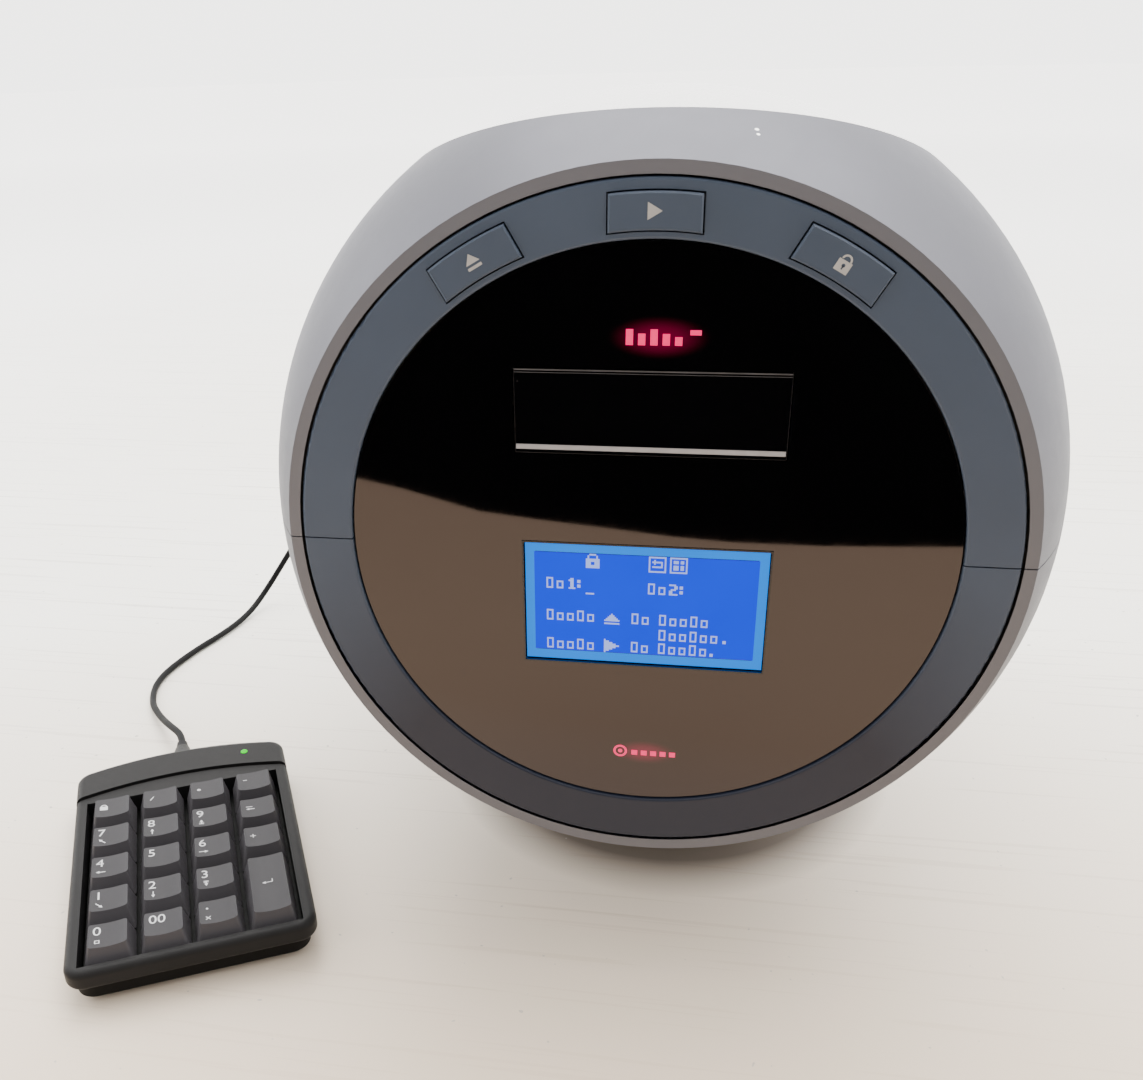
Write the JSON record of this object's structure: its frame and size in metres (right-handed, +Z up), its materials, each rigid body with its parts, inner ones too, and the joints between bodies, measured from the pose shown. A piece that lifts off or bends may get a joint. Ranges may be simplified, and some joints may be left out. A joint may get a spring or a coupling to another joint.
{
  "type": "automated cell counter",
  "caption": "Ball-shaped benchtop fluorescence cell counter with a motorised slide tray, round front panel, display and tethered numeric keypad.",
  "frame": {"origin": "centre of the rubber pad's underside, on the bench", "axes": "+X to the right seen from the front, +Y towards the rear panel, +Z up"},
  "size_m": [0.3887, 0.3826, 0.2877],
  "materials": {
    "silver_shell": "satin silver-painted moulding",
    "cover_white": "smooth white moulding",
    "pedestal": "fine moulded texture",
    "rubber": "matte",
    "ring_slate": "satin slate moulding",
    "window_black": "polished acrylic",
    "tray_black": "polished, tray front",
    "display": "lit blue display",
    "inner_black": "moulded",
    "circuit_board": "coated board",
    "cast_metal": "bead-blasted casting",
    "steel": "ground bar",
    "zinc_plate": "plated",
    "optics_black": "black anodised",
    "panel_grey": "powder coated",
    "motor": "painted laminations",
    "keypad_shell": "fine moulded texture",
    "keypad_dark": "moulded",
    "key_cap": "fine moulded texture",
    "cord_black": "satin jacket",
    "connector_black": "moulded"
  },
  "bodies": {
    "instrument": {"base_pad": "rubber", "base_pan": "pedestal", "button_board": "circuit_board", "camera_module": "optics_black", "fan_frame": "inner_black", "front_frame": "inner_black", "front_window": "window_black", "guide_rods": "steel", "keypad_base": "keypad_dark", "keypad_board": "circuit_board", "keypad_cord": "cord_black", "keypad_feet": "rubber", "keypad_strain_relief": "cord_black", "keypad_top": "keypad_shell", "lcd_module": "display", "light_source": "cast_metal", "lower_shell": "silver_shell", "main_board": "circuit_board", "objective_lens": "optics_black", "panel_screws": "zinc_plate", "power_inlet": "connector_black", "power_supply": "zinc_plate", "rear_panel": "panel_grey", "ring_lower": "ring_slate", "ring_upper": "ring_slate", "stage_frame": "cast_metal", "switch_housing": "connector_black", "top_cover": "cover_white", "tray_motor": "motor", "upper_shell": "silver_shell", "usb_plug": "cord_black", "usb_sockets": "zinc_plate"},
    "tray": {"sample_tray": "inner_black", "tray_front": "tray_black", "leadscrew_nut": "inner_black"},
    "leadscrew": {"leadscrew": "steel"},
    "button_eject": {"button_eject": "ring_slate"},
    "button_start": {"button_start": "ring_slate"},
    "button_lock": {"button_lock": "ring_slate"},
    "fan_rotor": {"fan_rotor": "inner_black"},
    "switch_rocker": {"switch_rocker": "connector_black"},
    "key_0": {"key_0": "key_cap"},
    "key_00": {"key_00": "key_cap"},
    "key_1": {"key_1": "key_cap"},
    "key_2": {"key_2": "key_cap"},
    "key_3": {"key_3": "key_cap"},
    "key_4": {"key_4": "key_cap"},
    "key_5": {"key_5": "key_cap"},
    "key_6": {"key_6": "key_cap"},
    "key_7": {"key_7": "key_cap"},
    "key_8": {"key_8": "key_cap"},
    "key_9": {"key_9": "key_cap"},
    "key_backspace": {"key_backspace": "key_cap"},
    "key_decimal": {"key_decimal": "key_cap"},
    "key_divide": {"key_divide": "key_cap"},
    "key_enter": {"key_enter": "key_cap"},
    "key_minus": {"key_minus": "key_cap"},
    "key_multiply": {"key_multiply": "key_cap"},
    "key_num_lock": {"key_num_lock": "key_cap"},
    "key_plus": {"key_plus": "key_cap"}
  },
  "joints": [
    {"name": "tray_slide", "type": "slide", "parent": "instrument", "child": "tray", "axis": [0, -1, 0], "range_m": [0, 0.086]},
    {"name": "leadscrew_spin", "type": "hinge", "parent": "instrument", "child": "leadscrew", "pos_m": [0.022, -0.08, 0.1897], "axis": [0, 1, 0], "range_deg": [0, 3872]},
    {"name": "fan_spin", "type": "hinge", "parent": "instrument", "child": "fan_rotor", "pos_m": [-0.028, 0.095, 0.1267], "axis": [0, 1, 0], "continuous": true},
    {"name": "rocker_tilt", "type": "hinge", "parent": "instrument", "child": "switch_rocker", "pos_m": [0.042, 0.1048, 0.1507], "axis": [0, 0, 1], "range_deg": [-16, 0]},
    {"name": "button_eject_press", "type": "slide", "parent": "instrument", "child": "button_eject", "axis": [0, 1, 0], "range_m": [0, 0.0008], "stiffness_N_per_m": 700, "springref_m": -0.0004},
    {"name": "button_start_press", "type": "slide", "parent": "instrument", "child": "button_start", "axis": [0, 1, 0], "range_m": [0, 0.0008], "stiffness_N_per_m": 700, "springref_m": -0.0004},
    {"name": "button_lock_press", "type": "slide", "parent": "instrument", "child": "button_lock", "axis": [0, 1, 0], "range_m": [0, 0.0008], "stiffness_N_per_m": 700, "springref_m": -0.0004},
    {"name": "key_0_press", "type": "slide", "parent": "instrument", "child": "key_0", "axis": [0, 0, -1], "range_m": [0, 0.0023], "stiffness_N_per_m": 230, "springref_m": -0.0004},
    {"name": "key_00_press", "type": "slide", "parent": "instrument", "child": "key_00", "axis": [0, 0, -1], "range_m": [0, 0.0023], "stiffness_N_per_m": 230, "springref_m": -0.0004},
    {"name": "key_1_press", "type": "slide", "parent": "instrument", "child": "key_1", "axis": [0, 0, -1], "range_m": [0, 0.0023], "stiffness_N_per_m": 230, "springref_m": -0.0004},
    {"name": "key_2_press", "type": "slide", "parent": "instrument", "child": "key_2", "axis": [0, 0, -1], "range_m": [0, 0.0023], "stiffness_N_per_m": 230, "springref_m": -0.0004},
    {"name": "key_3_press", "type": "slide", "parent": "instrument", "child": "key_3", "axis": [0, 0, -1], "range_m": [0, 0.0023], "stiffness_N_per_m": 230, "springref_m": -0.0004},
    {"name": "key_4_press", "type": "slide", "parent": "instrument", "child": "key_4", "axis": [0, 0, -1], "range_m": [0, 0.0023], "stiffness_N_per_m": 230, "springref_m": -0.0004},
    {"name": "key_5_press", "type": "slide", "parent": "instrument", "child": "key_5", "axis": [0, 0, -1], "range_m": [0, 0.0023], "stiffness_N_per_m": 230, "springref_m": -0.0004},
    {"name": "key_6_press", "type": "slide", "parent": "instrument", "child": "key_6", "axis": [0, 0, -1], "range_m": [0, 0.0023], "stiffness_N_per_m": 230, "springref_m": -0.0004},
    {"name": "key_7_press", "type": "slide", "parent": "instrument", "child": "key_7", "axis": [0, 0, -1], "range_m": [0, 0.0023], "stiffness_N_per_m": 230, "springref_m": -0.0004},
    {"name": "key_8_press", "type": "slide", "parent": "instrument", "child": "key_8", "axis": [0, 0, -1], "range_m": [0, 0.0023], "stiffness_N_per_m": 230, "springref_m": -0.0004},
    {"name": "key_9_press", "type": "slide", "parent": "instrument", "child": "key_9", "axis": [0, 0, -1], "range_m": [0, 0.0023], "stiffness_N_per_m": 230, "springref_m": -0.0004},
    {"name": "key_backspace_press", "type": "slide", "parent": "instrument", "child": "key_backspace", "axis": [0, 0, -1], "range_m": [0, 0.0023], "stiffness_N_per_m": 230, "springref_m": -0.0004},
    {"name": "key_decimal_press", "type": "slide", "parent": "instrument", "child": "key_decimal", "axis": [0, 0, -1], "range_m": [0, 0.0023], "stiffness_N_per_m": 230, "springref_m": -0.0004},
    {"name": "key_divide_press", "type": "slide", "parent": "instrument", "child": "key_divide", "axis": [0, 0, -1], "range_m": [0, 0.0023], "stiffness_N_per_m": 230, "springref_m": -0.0004},
    {"name": "key_enter_press", "type": "slide", "parent": "instrument", "child": "key_enter", "axis": [0, 0, -1], "range_m": [0, 0.0023], "stiffness_N_per_m": 230, "springref_m": -0.0004},
    {"name": "key_minus_press", "type": "slide", "parent": "instrument", "child": "key_minus", "axis": [0, 0, -1], "range_m": [0, 0.0023], "stiffness_N_per_m": 230, "springref_m": -0.0004},
    {"name": "key_multiply_press", "type": "slide", "parent": "instrument", "child": "key_multiply", "axis": [0, 0, -1], "range_m": [0, 0.0023], "stiffness_N_per_m": 230, "springref_m": -0.0004},
    {"name": "key_num_lock_press", "type": "slide", "parent": "instrument", "child": "key_num_lock", "axis": [0, 0, -1], "range_m": [0, 0.0023], "stiffness_N_per_m": 230, "springref_m": -0.0004},
    {"name": "key_plus_press", "type": "slide", "parent": "instrument", "child": "key_plus", "axis": [0, 0, -1], "range_m": [0, 0.0023], "stiffness_N_per_m": 230, "springref_m": -0.0004}
  ],
  "couplings": [
    {"joint": "leadscrew_spin", "follows": "tray_slide", "rad_per_m": 785.4}
  ]
}
